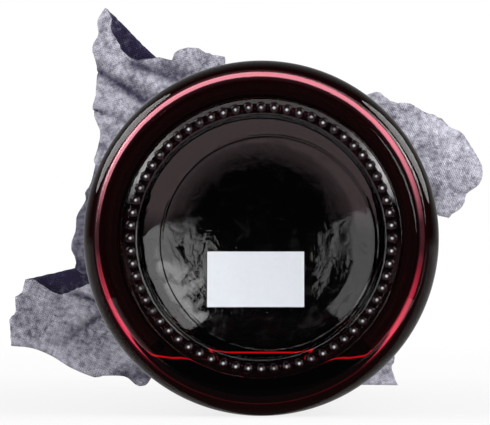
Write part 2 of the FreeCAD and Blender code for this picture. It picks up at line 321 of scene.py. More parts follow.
inside_outline += arc(corner_centre, cavity_corner, 0, -90, 10)
inside_outline += [(r, push_up(r, inner_push_up)) for r in np.linspace(29.5, 0, 12)]
# The inside is marked for painted shade: black on the walls above the heel and on the inner floor out to
# the rib.
painted_darks = [0] * len(glass_outline)
leans = [0] * len(glass_outline)
for radius, height in inside_outline:
    painted_darks.append(1 if height > painted_dark_start or radius < painted_dark_reach else 0)
    leans.append(1 if height < painted_dark_start + 1 else 0)
bottle = lathe("bottle", glass_outline + inside_outline, bottle_turns, leans, painted_darks)
# Near the base and low down, where the liquid lies, the inside is left clear of the painted shade.
for corner, mark in zip(bottle.data.vertices, bottle.data.attributes["painted_dark"].data):
    if corner.co.y < painted_dark_start * MM and corner.co.z < painted_dark_low * MM:
        mark.value = 0

# The groove left by the edge of the mould's baffle plate, a little off the middle.
baffle_radius = 23
baffle_middle = (1.47, -0.85)
groove_depth = 0.1
groove_width = 0.23
groove_top = push_up(21, push_up_radius) * MM
for corner in bottle.data.vertices:
    if corner.co.y < groove_top:
        across = corner.co.x / MM - baffle_middle[0]
        upward = corner.co.z / MM - baffle_middle[1]
        off_groove = math.hypot(across, upward) - baffle_radius
        corner.co.y += groove_depth * MM * math.exp(-(off_groove / groove_width) ** 2)
bottle.data.materials.append(ruby_glass())
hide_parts("bottle_body")
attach(bottle, "bottle")

# The row of stipple bumps, solid drops of the same glass set in the rib's top by one node tree.
stipple = bpy.data.node_groups.new("stipple_row", "GeometryNodeTree")
stipple.interface.new_socket("Geometry", in_out="OUTPUT", socket_type="NodeSocketGeometry")
stipple_sizes = {
    "Bump count": 64,
    "Row radius": row_radius * MM,
    "Bump radius": 1.3 * MM,
}
stipple_keys = {}
for label in stipple_sizes:
    socket = stipple.interface.new_socket(label, in_out="INPUT", socket_type="NodeSocketFloat")
    stipple_keys[label] = socket.identifier


def stipple_input(label):
    """One of the row's sizes, inside its tree."""
    return add_node(stipple, "NodeGroupInput", output=label)


bump_black = (0.006, 0.001, 0.002, 1)
# Grey of the tips: wear, and a painted highlight.
tip_wear_and_glint_grey = (0.75, 0.75, 0.77, 1)


def stipple_glass():
    """The same glass where it is too thick to see through. Its tips are grey: partly rubbed on shelves,
    partly a painted highlight standing in for the lamps' glints.
    """
    material, tree = new_material("stipple_glass")
    place = add_node(tree, "ShaderNodeTexCoord", output="Object")
    height = place.parts()[1]
    scuff = speckle(place, 500, 3)
    # Grey tips: wear and a painted highlight in one.
    rubbed_and_glint = 1.4 * height.ramp(0.084 * MM, 0) * (0.15 + 0.65 * scuff.ramp(0.37, 0.5))
    finish_material(tree, {
        "Base Color": blend(rubbed_and_glint, bump_black, tip_wear_and_glint_grey),
        "Roughness": 0.12 + 0.3 * rubbed_and_glint,
        "IOR": 1.45,
    })
    return material


row = add_node(stipple, "GeometryNodeMeshCircle", {
    "Vertices": stipple_input("Bump count"),
    "Radius": stipple_input("Row radius"),
})
lift = add_node(stipple, "ShaderNodeCombineXYZ", {"Y": stipple_input("Bump radius")})
laid_row = add_node(stipple, "GeometryNodeTransform", {
    "Geometry": row,
    "Translation": lift,
    "Rotation": (math.pi / 2, 0, 0),
})
drop = add_node(stipple, "GeometryNodeMeshUVSphere", {
    "Segments": 20,
    "Rings": 10,
    "Radius": stipple_input("Bump radius"),
})
drops = add_node(stipple, "GeometryNodeInstanceOnPoints", {"Points": laid_row, "Instance": drop})
real = add_node(stipple, "GeometryNodeRealizeInstances", [drops])
coated = add_node(stipple, "GeometryNodeSetMaterial", {
    "Geometry": real,
    "Material": stipple_glass(),
})
add_node(stipple, "NodeGroupOutput", [coated])


def bake_nodes(item, tree, keys, sizes):
    """Run a node tree on an object and keep the result as its plain mesh."""
    run = item.modifiers.new(tree.name, "NODES")
    run.node_group = tree
    for label, size in sizes.items():
        run[keys[label]] = float(size)
    view = bpy.context.evaluated_depsgraph_get()
    mesh = bpy.data.meshes.new_from_object(item.evaluated_get(view))
    item.modifiers.remove(run)
    item.data = mesh
    mesh.polygons.foreach_set("use_smooth", [True] * len(mesh.polygons))


bumps = place_mesh("stipple_row", bpy.data.meshes.new("stipple_row"))
bake_nodes(bumps, stipple, stipple_keys, stipple_sizes)
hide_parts("bottle_body")
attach(bumps, "bottle")

# Liquid
# A little dark red liquid left in the bottle. It lies along the low side of the inside with its top level,
# climbs where it wets the wall, and its thin edge by the base has a painted red glow for the light caught
# along it.

liquid_level = -25.6
liquid_gap = 0.1
wet_edge = 0.4
edge_width = 0.1
glow_reach = 8.2
liquid_climb = 1.0
climb_start = 32
climb_width = 2.5
climb_depth = 2
level_start = 1.5
liquid_turns = 480
liquid_red = (0.8, 0, 0.02, 1)
liquid_density = 900
painted_edge_glow_red = (0.55, 0.005, 0.012, 1)


def red_liquid():
    """Clear liquid that swallows all but red, with a painted red glow at its thin edge."""
    material, tree = new_material("red_liquid")
    edge = add_node(tree, "ShaderNodeAttribute", output="Fac", attribute_name="edge")
    depth = add_node(tree, "ShaderNodeVolumeAbsorption", {"Color": liquid_red, "Density": liquid_density})
    finish_material(tree, {
        "Base Color": white,
        "Roughness": 0.0,
        "IOR": 1.34,
        "Transmission Weight": 1.0,
        "Emission Color": blend(edge, black, painted_edge_glow_red),
        "Emission Strength": 1.0,
    }, depth)
    return material


liquid_radius = cavity_radius - liquid_gap
liquid_floor = inner_push_up + liquid_gap
liquid_bend = liquid_radius - cavity_corner
liquid_corner = (liquid_bend, push_up(liquid_bend, liquid_floor) + cavity_corner)
liquid_outline = [(r, push_up(r, liquid_floor)) for r in np.linspace(0, 29.8, 24)]
liquid_outline += arc(liquid_corner, cavity_corner, -90, 0, 12)
liquid_outline += [(liquid_radius, y) for y in (30, 80, 130)]
liquid_outline += arc(shoulder_centre, inner_shoulder - liquid_gap, 0, 70, 12)
liquid_outline += [(0, 204)]
liquid_leans = [1 if height < painted_dark_start + 1 else 0 for radius, height in liquid_outline]
liquid = lathe("liquid_pool", liquid_outline, liquid_turns, liquid_leans)
pour = bmesh.new()
pour.from_mesh(liquid.data)
for below, spare in ((0, True), (wet_edge * 0.8, False), (wet_edge, False)):
    everything = pour.verts[:] + pour.edges[:] + pour.faces[:]
    cut = (0, 0, (liquid_level - below) * MM)
    bmesh.ops.bisect_plane(pour, geom=everything, dist=1e-7, plane_co=cut, plane_no=(0, 0, 1),
                           clear_outer=spare)
rim = [line for line in pour.edges if line.is_boundary]
top = bmesh.ops.contextual_create(pour, geom=rim)["faces"]
bmesh.ops.inset_region(pour, faces=top, thickness=edge_width * MM, use_even_offset=True)
# Points along the edge of the top near the base get the mark for the painted red glow.
glow_mark = pour.verts.layers.float.new("edge")
inner_top = {corner for face in top for corner in face.verts}
for corner in pour.verts:
    near = corner.co.z > (liquid_level - wet_edge * 0.9) * MM and corner.co.y < glow_reach * MM
    corner[glow_mark] = 1 if near and corner not in inner_top else 0
bmesh.ops.inset_region(pour, faces=top, thickness=level_start * MM, use_even_offset=True)
still_top = {corner for face in top for corner in face.verts}
for corner in pour.verts:
    off_axis = math.hypot(corner.co.x, corner.co.z)
    by_wall = min(1, max(0, (off_axis / MM - climb_start) / climb_width))
    below = liquid_level - corner.co.z / MM
    climb = 0 if corner in still_top else liquid_climb * by_wall * max(0, 1 - below / climb_depth)
    height = corner.co.z + climb * MM
    across = math.sqrt(max(0, off_axis ** 2 - height ** 2))
    corner.co = (math.copysign(across, corner.co.x), corner.co.y, height)
bmesh.ops.triangulate(pour, faces=[face for face in pour.faces if len(face.verts) > 4])
bmesh.ops.recalc_face_normals(pour, faces=pour.faces)
pour.to_mesh(liquid.data)
pour.free()
for face in liquid.data.polygons:
    face.use_smooth = abs(face.normal.z) < 0.99
liquid.data.materials.append(red_liquid())
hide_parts("liquid")
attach(liquid, "bottle")

# Price label
# A small rectangle of white paper with nothing written on it, cut from a roll and held in the push-up by
# its own gum.

paper_shade = (0.73, 0.76, 0.82, 1)
paper_light = (0.82, 0.85, 0.9, 1)


def label_paper():
    """Matt paper with fine fibres."""
    material, tree = new_material("label_paper")
    place = add_node(tree, "ShaderNodeTexCoord", output="Object")
    fibre = speckle(place, 900, 4)
    cloud = speckle(place, 120, 2)
    finish_material(tree, {
        "Base Color": blend(0.7 * fibre + 0.3 * cloud, paper_shade, paper_light),
        "Roughness": 0.75,
        "Normal": relief(fibre, 0.3, 0.03 * MM),
    })
    return material


def dress(node, material):
    """Give a piece that is kept as it was made its material."""
    mesh = bpy.data.objects[node].data
    mesh.materials.clear()
    mesh.materials.append(material)


dress("price_label", label_paper())

# Cork
# A plain cork shank, cut from bark and ground round, with the dark pits and flecks of natural cork. It is
# pushed into the neck and pulls straight out.

cork_pale = (0.62, 0.42, 0.24, 1)
cork_brown = (0.4, 0.24, 0.12, 1)
pit_brown = (0.12, 0.06, 0.03, 1)


def natural_cork():
    """Small grains of two browns, with dark pits sunk in them."""
    material, tree = new_material("cork")
    place = add_node(tree, "ShaderNodeTexCoord", output="Object")
    grains = add_node(tree, "ShaderNodeTexVoronoi", {"Vector": place, "Scale": 700})
    cloud = speckle(place, 260, 5)
    pits = speckle(place, 420, 2).ramp(0.6, 0.711)
    bark = blend(0.5 * cloud + 0.8 * grains, cork_pale, cork_brown)
    finish_material(tree, {
        "Base Color": blend(pits * 0.8, bark, pit_brown),
        "Roughness": 0.8,
        "Normal": relief(grains * 0.4 - pits, 0.7, 0.2 * MM),
    })
    return material


dress("stopper_cork", natural_cork())

# Stopper head
# A knob of brown wood, turned on a lathe and waxed. It is glued over the cork's upper end, to pull the
# cork by.

wood_dark = (0.07, 0.03, 0.014, 1)
wood_brown = (0.25, 0.125, 0.06, 1)
heart_place = (0.012, 0, 0.02)


def turned_wood():
    """Fibres along the knob, and growth rings about a heart that lies beside it."""
    material, tree = new_material("turned_wood")
    place = add_node(tree, "ShaderNodeTexCoord", output="Object")
    along = add_node(tree, "ShaderNodeMapping", {"Vector": place, "Scale": (900, 90, 900)})
    fibre = speckle(along, 1.0, 4)
    trunk = add_node(tree, "ShaderNodeMapping", {
        "Vector": place,
        "Scale": (1, 0.15, 1),
        "Location": heart_place,
    })
    rings = add_node(tree, "ShaderNodeTexWave", {
        "Vector": trunk,
        "Scale": 95,
        "Distortion": 3,
        "Detail": 2,
        "Detail Scale": 1.2,
    }, output="Fac", wave_type="RINGS", rings_direction="Y")
    tone = (0.65 * rings + 0.5 * fibre).at_most(1)
    finish_material(tree, {
        "Base Color": blend(tone, wood_dark, wood_brown),
        "Roughness": 0.36 + 0.2 * fibre,
        "Coat Weight": 0.25,
        "Normal": relief(fibre, 0.35, 0.1 * MM),
    })
    return material


dress("stopper_head", turned_wood())

# Neck band
# The ribbon's turn round the neck: a strip torn from loosely woven lavender-grey cloth, pulled tight so
# that it creases along its length, its raw edges curling off the glass.

cloth_thickness = 0.8
pattern_size = 100
thread_dark = (0.14, 0.135, 0.185, 1)
thread_pale = (0.76, 0.75, 0.86, 1)
# Deep violet of the reverse, also used for the painted shade in the folds.
reverse_and_shade_violet = (0.027, 0.018, 0.068, 1)
thread_pitch = 900


def woven_cloth():
    """Loose plain weave: pale and dark threads both ways. Painted shade in deep violet lies in the folds,
    and the reverse is that violet, which also stands in for the shade inside the loops.
    """
    material, tree = new_material("ribbon_cloth")
    flat = add_node(tree, "ShaderNodeTexCoord", output="UV")
    warp_place = add_node(tree, "ShaderNodeMapping", {"Vector": flat, "Scale": (45, 210, 1)})
    weft_place = add_node(tree, "ShaderNodeMapping", {"Vector": flat, "Scale": (210, 45, 1)})
    warp = speckle(warp_place, 1.0, 2)
    weft = speckle(weft_place, 1.0, 2)
    mottle = speckle(flat, 70, 3)
    wear = speckle(flat, 14, 3)
    tone = (0.6 * warp + 0.6 * weft + 1.75 * mottle + 1.3 * wear - 1.6).at_least(0).at_most(1)
    face = blend(tone, thread_dark, thread_pale)
    reverse = add_node(tree, "ShaderNodeAttribute", output="Fac", attribute_name="reverse")
    shade = add_node(tree, "ShaderNodeAttribute", output="Fac", attribute_name="shade")
    # Painted shade in the folds and the violet reverse, deepest where the weave is dark.
    deep = ((reverse + shade) * (1.15 - 0.3 * tone)).at_most(1)
    across, along = flat.parts()[:2]
    threads = (across * thread_pitch).math("SINE") * (along * thread_pitch).math("SINE")
    finish_material(tree, {
        "Base Color": blend(deep, face, reverse_and_shade_violet),
        "Roughness": 0.9,
        "Sheen Weight": 0.15,
        "Normal": relief(threads * 0.35 + warp + weft, 0.8, 0.25 * MM),
    })
    return material


ribbon_cloth = woven_cloth()


def cloth_shell(name, places, faces, flats, shades):
    """A closed sheet of cloth about a middle surface in millimetres. Its under side is the reverse."""
    places = np.array(places)
    normals = np.zeros_like(places)
    for face in faces:
        a, b, c = places[face[0]], places[face[1]], places[face[2]]
        normal = np.cross(b - a, c - a)
        for corner in face:
            normals[corner] += normal
    normals /= np.maximum(np.linalg.norm(normals, axis=1), 1e-9)[:, None]
    build = bmesh.new()
    reverse = build.verts.layers.float.new("reverse")
    shade = build.verts.layers.float.new("shade")
    flat = build.loops.layers.uv.new("flat")
    sides = []
    for side in (1, -1):
        skin = []
        for place, normal, dark in zip(places, normals, shades):
            corner = build.verts.new((place + normal * side * cloth_thickness / 2) * MM)
            corner[reverse] = 0 if side > 0 else 1
            corner[shade] = dark
            skin.append(corner)
        sides.append(skin)
    build.verts.index_update()
    for face in faces:
        build.faces.new([sides[0][corner] for corner in face])
        build.faces.new([sides[1][corner] for corner in reversed(face)])
    edges = {}
    for face in faces:
        for start, end in zip(face, (*face[1:], face[0])):
            edges[start, end] = True
    for start, end in edges:
        if (end, start) not in edges:
            build.faces.new((sides[0][end], sides[0][start], sides[1][start], sides[1][end]))
    for face in build.faces:
        for loop in face.loops:
            loop[flat].uv = flats[loop.vert.index % len(flats)]
    mesh = bpy.data.meshes.new(name)
    build.to_mesh(mesh)
    build.free()
    mesh.materials.append(ribbon_cloth)
    return place_mesh(name, mesh)


def ripple(x, y, z, seed=0):
    """Smooth noise from about -1 to 1 at a place, with waves about a unit apart."""
    return noise.noise(Vector((x + 17.3 * seed, y - 9.1 * seed, z + 4.7 * seed)))


def wound_strip(name, wide, turns, rows, shape):
    """A strip wound once into a closed loop. shape gives a place and a shade from two shares, the one
    round the loop and the one across the strip."""
    places = []
    shades = []
    flats = []
    for row in range(rows + 1):
        for turn in range(turns):
            place, shade = shape(turn / turns, row / rows)
            places.append(place)
            shades.append(shade)
            flats.append((turn / turns, row / rows * wide / pattern_size))
    faces = []
    for row in range(rows):
        for turn in range(turns):
            after = (turn + 1) % turns
            near, far = row * turns, (row + 1) * turns
            faces.append((near + turn, far + turn, far + after, near + after))
    return cloth_shell(name, places, faces, flats, shades)


band_start = 219.5
band_width = 15
band_radius = 15.9
band_margin = 0.6


def band_shape(round_share, across):
    """A place on the band and its shade: creased along its length, its torn edges standing off the neck."""
    angle = 2 * math.pi * round_share
    side = math.cos(angle)
    rise = math.sin(angle)
    torn = 0.5 * ripple(side * 9, rise * 9, 0, 1 if across > 0.5 else 2)
    height = band_start + band_margin + (band_width - 2 * band_margin) * across
    height += torn * abs(2 * across - 1) ** 3
    crease = ripple(side * 2.2, rise * 2.2, across * 6.5, 3)
    radius = band_radius + 0.75 * crease + 0.35 * ripple(side * 7, rise * 7, across * 9, 4)
    radius += 0.5 * abs(2 * across - 1) ** 4
    return (radius * side, height, radius * rise), max(0, -crease * 1.1)


band = wound_strip("neck_band", band_width, 240, 28, band_shape)
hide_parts("ribbon_neck_band")
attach(band, "bottle")

# Knot
# A short piece of the same strip, wound over the middle of the bow and drawn in so that it gathers at
# both ends.

knot_centre = (227, 24.7)
knot_half = (6.9, 5.9)
knot_width = 16.6
knot_margin = 0.4
knot_tight = 0.93


def knot_shape(round_share, across):
    """A place on the knot and its shade: a squarish roll, pinched at both ends."""
    angle = -2 * math.pi * round_share
    offset = 2 * across - 1
    side = math.cos(angle)
    rise = math.sin(angle)
    pinch = 1 - 0.3 * abs(offset) ** 2.5
    crease = ripple(side * 3.2, rise * 3.2, offset * 0.8, 5)
    swell = pinch * (1 + 0.1 * crease + 0.04 * ripple(side * 8, rise * 8, offset * 5, 6))
    square = (abs(side) ** 3 + abs(rise) ** 3) ** (-1 / 3)
    torn = 0.4 * ripple(side * 8, rise * 8, offset, 7)
    place = (
        knot_width / 2 * offset + torn * abs(offset) ** 3 - knot_margin * offset,
        knot_centre[0] + knot_half[0] * side * square * swell * knot_tight,
        knot_centre[1] + knot_half[1] * rise * square * swell * knot_tight,
    )
    return place, max(0, -crease * 1.2)


knot = wound_strip("knot", knot_width, 150, 30, knot_shape)
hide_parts("ribbon_knot")
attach(knot, "bottle")

# Loops
# The bow's two loops, each a length of the torn strip doubled back from the knot, so that a front and a
# back layer meet at a fold. The left one stands up, creased, with painted shade in its creases, and its
# violet reverse inside also stands in for the shade there. The right one lies flat.

step = 0.95


def smooth_line(points, tear=0.0, seed=0):
    """Points a step apart on a smooth line through the given ones, pulled about by a tear at a raw edge."""
    points = [np.array(point, float) for point in points]
    padded = [2 * points[0] - points[1], *points, 2 * points[-1] - points[-2]]
    line = []
    for before, start, end, after in zip(padded, padded[1:], padded[2:], padded[3:]):
        count = max(1, round(np.linalg.norm(end - start) / step))
        for share in np.arange(count) / count:
            turn = (end - before) * share
            turn = turn + (2 * before - 5 * start + 4 * end - after) * share ** 2
            turn = turn + (3 * start - before - 3 * end + after) * share ** 3
            line.append(start + 0.5 * turn)
    line.append(points[-1])
    for index in range(1, len(line) - 1):
        x, z = line[index]
        pull = np.array([ripple(x, z, 0, seed + 1), ripple(x, z, 5, seed + 2)])
        line[index] = line[index] + tear * pull
    return line


def away_from(line, points):
    """How far each point is from a line of points, in millimetres."""
    points = np.array(points)
    best = np.full(len(points), 1e9)
    for start, end in zip(line, line[1:]):
        start = np.array(start)
        span = np.array(end) - start
        share = np.clip((points - start) @ span / (span @ span), 0, 1)
        best = np.minimum(best, np.linalg.norm(points - start - share[:, None] * span, axis=1))
    return best


def fill_outline(outline):
    """Points and triangles that fill a closed outline evenly, the outline's own points first."""
    edge = np.array(outline)
    low, high = edge.min(axis=0), edge.max(axis=0)
    spots = []
    for row, z in enumerate(np.arange(low[1], high[1], step * 0.87)):
        for x in np.arange(low[0] + step * 0.5 * (row % 2), high[0], step):
            spots.append((x, z))
    spots = np.array(spots)
    inside = np.zeros(len(spots), bool)
    for start, end in zip(edge, np.roll(edge, -1, axis=0)):
        crosses = (start[1] > spots[:, 1]) != (end[1] > spots[:, 1])
        rise = end[1] - start[1] if end[1] != start[1] else 1e-9
        reach = start[0] + (spots[:, 1] - start[1]) * (end[0] - start[0]) / rise
        inside ^= crosses & (spots[:, 0] < reach)
    clear = away_from([*outline, outline[0]], spots) > step * 0.6
    points = [Vector(point) for point in [*outline, *spots[inside & clear]]]
    ring = list(range(len(outline)))
    found = delaunay_2d_cdt(points, [], [ring], 1, 1e-6)
    return [tuple(point) for point in found[0]], found[2]


def cloth_lobe(name, layers, turn):
    """A lobe of cloth that faces the base. A layer is its fold or None, its raw edge, which way it faces,
    its depth from points and distances to the fold, and its creases. A crease is its ends, width, depth and
    darkness, the darkness being painted shade along its valley. Layers meet along the first one's fold."""
    places = []
    faces = []
    flats = []
    shades = []
    for fold, raw, facing, depth, creases in layers:
        shared = len(fold) if fold and places else 0
        outline = [*(fold or []), *raw]
        points, triangles = fill_outline(outline)
        heights = depth(np.array(points), away_from(fold, points) if fold else None)
        darks = np.zeros(len(points))
        for start, end, width, deep, dark in creases:
            valley = np.exp(-(away_from([start, end], points) / width) ** 2)
            heights = heights + deep * valley
            darks = np.maximum(darks, dark * valley)
        first = len(places)
        index = list(range(shared)) + list(range(first, first + len(points) - shared))
        for corner in range(shared, len(points)):
            x, z = points[corner]
            places.append((x, heights[corner], z))
            shades.append(darks[corner])
            flats.append(((x * math.cos(turn) + z * math.sin(turn)) / pattern_size,
                          (z * math.cos(turn) - x * math.sin(turn)) / pattern_size))
        for triangle in triangles:
            a, b, c = (points[corner] for corner in triangle)
            spin = (b[0] - a[0]) * (c[1] - a[1]) - (b[1] - a[1]) * (c[0] - a[0])
            corners = [index[corner] for corner in triangle]
            faces.append(corners if spin * facing > 0 else corners[::-1])
    return cloth_shell(name, places, faces, flats, shades)


loop_middle = 225
loop_half = 3.5
loop_limit = 4.1


def loop_depth(facing, root, seed):
    """The depth of a loop's layer: it swells away from its fold, gathers at the knot and ripples."""
    def depth(points, fold_away):
        swell = loop_half * (1 - np.exp(-fold_away / 3.5))
        heights = loop_middle - facing * swell
        for index, (x, z) in enumerate(points):
            reach = math.hypot(x - root[0], z - root[1])
            bearing = math.atan2(z - root[1], abs(x - root[0]) + 3)
            gather = 1.1 * math.sin(bearing * 11 + 2 * seed) * math.exp(-reach / 13)
            wave = 0.8 * ripple(x / 11, z / 11, 0, seed) + 0.35 * ripple(x / 4, z / 4, 0, seed + 1)
            ease = min(1, fold_away[index] / 3)
            heights[index] += ease * (gather + wave)
        return np.clip(heights, loop_middle - loop_limit, loop_middle + loop_limit)
    return depth


left_root = (-8.9, 24.7)
left_fold = smooth_line([(-38.5, 17.6), (-42.3, 19.3), (-42, 21.3), (-40.8, 26.7), (-42, 30.3),
                         (-42.9, 33.3), (-42, 36.7), (-41.8, 44.1), (-42.9, 48.7), (-41.3, 52),
                         (-41.5, 55.6), (-39.6, 58.8)])
left_front = smooth_line([(-39.6, 58.8), (-38.2, 56.1), (-38.4, 53.3), (-36.4, 49.5), (-34.6, 46.9),
                          (-31.5, 45.4), (-27.4, 46), (-25.9, 46.1), (-22.8, 45.4), (-21.6, 47.9),
                          (-16.7, 48.7), (-14.1, 47.4), (-9.3, 46.3)], 0.35, 11)[1:]
left_front += smooth_line([(-9.3, 46.3), (-8.9, 31.5)], 0.3, 12)[1:]
left_front += smooth_line([(-8.9, 31.5), (-8.9, 18)])[1:]
left_front += smooth_line([(-8.9, 18), (-20, 16.6), (-30, 16.4), (-38.5, 17.6)], 0.4, 13)[1:-1]
left_back = smooth_line([(-39.6, 58.8), (-35, 54.4), (-27.4, 46.8), (-18, 40), (-8.9, 31.5)],
                        0.15, 14)[1:]
left_back += smooth_line([(-8.9, 31.5), (-8.9, 18)])[1:]
left_back += smooth_line([(-8.9, 18), (-20, 17.6), (-30, 17.6), (-38.5, 17.6)], 0.3, 15)[1:-1]
left_creases = [
    ((-42, 43.3), (-29.9, 35.1), 1.5, 1.7, 0.95),
    ((-32.6, 44.5), (-21.7, 40.4), 1.7, 1.7, 0.85),
    ((-24, 43.5), (-14, 38.5), 2.2, 1.2, 0.7),
    ((-42, 32.9), (-39.7, 31.6), 0.8, 0.8, 0.7),
    ((-41.7, 23.7), (-38.9, 22.6), 0.9, 0.8, 0.7),
    ((-31.7, 37.8), (-27.6, 36.6), 1.0, 1.0, 0.5),
    ((-42, 32.8), (-34.6, 29.8), 1.0, 1.1, 0.5),
    ((-40.8, 27.2), (-37, 27), 0.8, 0.8, 0.4),
]
left_loop = cloth_lobe("left_loop", [
    (left_fold, left_front, 1, loop_depth(1, left_root, 21), left_creases),
    (left_fold, left_back, -1, loop_depth(-1, left_root, 23), []),
], 0.5)
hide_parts("ribbon_loop_left")
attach(left_loop, "bottle")

right_root = (8.9, 24.7)
right_fold = smooth_line([(45.8, 30.5), (48.2, 28), (49.9, 27.4), (51.4, 26.4), (53.2, 23.6),
                          (55.2, 20.3), (56.3, 17.5), (55.5, 14.1), (52.2, 11.6), (51.7, 9.4),
                          (50.6, 7.7), (48.6, 6.5), (47.7, 5.4)])
right_raw = smooth_line([(47.7, 5.4), (45.4, 5.9), (38, 8.5), (28, 13), (18, 16.6), (8.9, 18.2)],
                        0.3, 31)[1:]
right_raw += smooth_line([(8.9, 18.2), (8.9, 31.4)])[1:]
right_raw += smooth_line([(8.9, 31.4), (17, 35), (27.1, 36.7), (29.4, 37.4), (31.1, 36.4), (33, 35),
                          (35, 34.4), (37.2, 34.6), (39.4, 33.6), (41.8, 32.1), (43.7, 31.7),
                          (45.8, 30.5)], 0.25, 32)[1:-1]
right_creases = [
    ((50, 25), (36, 21), 1.6, 0.8, 0.12),
    ((44, 12), (33, 16), 1.4, 0.8, 0.15),
]
right_loop = cloth_lobe("right_loop", [
    (right_fold[::-1], right_raw[::-1], 1, loop_depth(1, right_root, 25), right_creases),
    (right_fold[::-1], right_raw[::-1], -1, loop_depth(-1, right_root, 27), []),
], -0.3)
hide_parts("ribbon_loop_right")
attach(right_loop, "bottle")

# Tails
# The ribbon's loose ends, torn across. The left one hangs out beside the bottle, doubled along its length
# with a single layer hanging before it. The right one drops straight to the floor.

tail_middle = 231.7


def tail_depth(facing, half, seed):
    """The depth of a tail's layer, half of its opening off the middle, with soft ripples."""
    def depth(points, fold_away):
        swell = half * (1 - np.exp(-fold_away / 2.5)) if fold_away is not None else half
        heights = tail_middle - facing * swell * np.ones(len(points))
        for index, (x, z) in enumerate(points):
            wave = 0.3 * ripple(x / 9, z / 9, 0, seed) + 0.2 * ripple(x / 3.5, z / 3.5, 0, seed + 1)
            ease = min(1, fold_away[index] / 2) if fold_away is not None else 1
            heights[index] += ease * wave
        return heights
    return depth


tail_fold = smooth_line([(-64.3, -27.3), (-58.9, -27.9), (-53.8, -29.9), (-48.7, -33), (-42.8, -35.4),
                         (-40.8, -35), (-35, -35.2), (-32.1, -37.3), (-30.5, -37.6), (-28.7, -35.9),
                         (-24, -26), (-18.8, -9)])
torn_end = [(-60.6, -10.6), (-61.5, -14), (-63.3, -15.1), (-63, -18.9), (-64.6, -20.7),
            (-64.4, -25.3), (-64.3, -27.3)]
tail_front = smooth_line([(-18.8, -9), (-18.8, 5)])[1:]
tail_front += smooth_line([(-18.8, 5), (-28, -2), (-38, -9), (-44, -11.6), (-48, -13.2), (-51.2, -14.5),
                           (-54.6, -13.2), (-58.2, -10.8), (-60.6, -10.6)], 0.3, 41)[1:]
tail_front += smooth_line(torn_end, 0.25, 42)[1:-1]
tail_back = smooth_line([(-18.8, -9), (-18.8, 8)])[1:]
tail_back += smooth_line([(-18.8, 8), (-30, 1), (-40, -5.6), (-47.7, -7.6), (-54, -9.1),
                          (-60.6, -10.6)], 0.12, 43)[1:]
tail_back += smooth_line(torn_end, 0.25, 42)[1:-1]
tail_creases = [
    ((-48.6, -14), (-42.6, -16.1), 0.8, 0.8, 0.95),
    ((-40.8, -19.7), (-44.7, -22.3), 1.0, 0.9, 0.75),
    ((-44.7, -22.3), (-51, -27), 1.3, 0.7, 0.35),
    ((-60, -20), (-52, -17.5), 1.8, 0.5, 0.12),
    ((-36, -35), (-29.5, -35.5), 1.8, 0.3, 0.7),
]
left_tail = cloth_lobe("left_tail", [
    (tail_fold, tail_front, 1, tail_depth(1, 1.5, 45), tail_creases),
    (tail_fold, tail_back, -1, tail_depth(-1, 1.5, 47), []),
], -0.35)
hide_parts("ribbon_tail_left")
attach(left_tail, "bottle")

inner_edge = smooth_line([(-42.4, 20), (-43.8, 14.2), (-45.3, 11.7), (-45.1, 9.9), (-47.3, 6),
                          (-47.6, 4.2), (-47.8, 1.7), (-48.7, -0.8), (-48.8, -3), (-48, -4.6),
                          (-47.6, -6.4), (-47.9, -7.6)])
inner_edge += smooth_line([(-47.9, -7.6), (-45, -9.3), (-39, -6), (-29, 1), (-19.2, 8)], 0.2, 52)[1:]
inner_edge += smooth_line([(-19.2, 8), (-19.2, 14)])[1:]
inner_edge += smooth_line([(-19.2, 14), (-30, 18), (-42.4, 20)], 0.2, 53)[1:-1]
# The first two marks are painted shadow on the hanging layer, broad and darkest at its foot, where the loop
# above shades it. The third is a crease with painted shade.
inner_creases_and_shadows = [
    ((-46, 14), (-46, -8), 9, 0, 0.62),
    ((-49, -7), (-40, -8), 3.6, 0.2, 0.95),
    ((-44.5, 13), (-36, 8), 1.2, 0.4, 0.6),
]
inner_layer = cloth_lobe("left_tail_inner", [
    (None, inner_edge, 1, tail_depth(1, 0.0, 55), inner_creases_and_shadows),
], 0.2)
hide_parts("ribbon_tail_left")
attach(inner_layer, "bottle")

right_edge = smooth_line([(18.8, 5.5), (18.9, -12)])
right_edge += smooth_line([(18.9, -12), (21, -26), (24.8, -37.7)], 0.2, 61)[1:]
right_edge += smooth_line([(24.8, -37.7), (35.2, -37.8)])[1:]
right_edge += smooth_line([(35.2, -37.8), (34.3, -35.8), (33.5, -33.1), (34.3, -30.7), (32.4, -22),
                           (29, -10), (24, 0), (18.8, 5.5)], 0.2, 62)[1:-1]
right_tail_creases = [((33, -30), (25, -20), 1.5, 0.5, 0.3)]
right_tail = cloth_lobe("right_tail", [
    (None, right_edge, 1, tail_depth(1, 0.0, 63), right_tail_creases),
], 0.3)
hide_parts("ribbon_tail_right")
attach(right_tail, "bottle")

# Studio
# A white floor and background, two large soft boxes in front of the base, two above the sides and a small
# fill box. The glass mirrors a dark room, and is lit from behind through its heel.

floor_half = 30
paper_white = (0.9, 0.9, 0.9, 1)
floor_level = -body_radius * MM
floor_mesh = bpy.data.meshes.new("floor")
floor_build = bmesh.new()
floor_corners = [(-1, -1), (1, -1), (1, 1), (-1, 1)]
floor_build.faces.new([
    floor_build.verts.new((x * floor_half, y * floor_half, floor_level)) for x, y in floor_corners
])
floor_build.to_mesh(floor_mesh)
floor_build.free()
floor = place_mesh("floor", floor_mesh)


def ray_kinds(tree):
    """1 where a ray comes from the camera, where it comes off a gloss, and where it comes through glass."""
    kinds = ("Is Camera Ray", "Is Glossy Ray", "Is Transmission Ray")
    camera, glossy, through = [add_node(tree, "ShaderNodeLightPath", output=kind) for kind in kinds]
    return camera, glossy * (1 - through), through


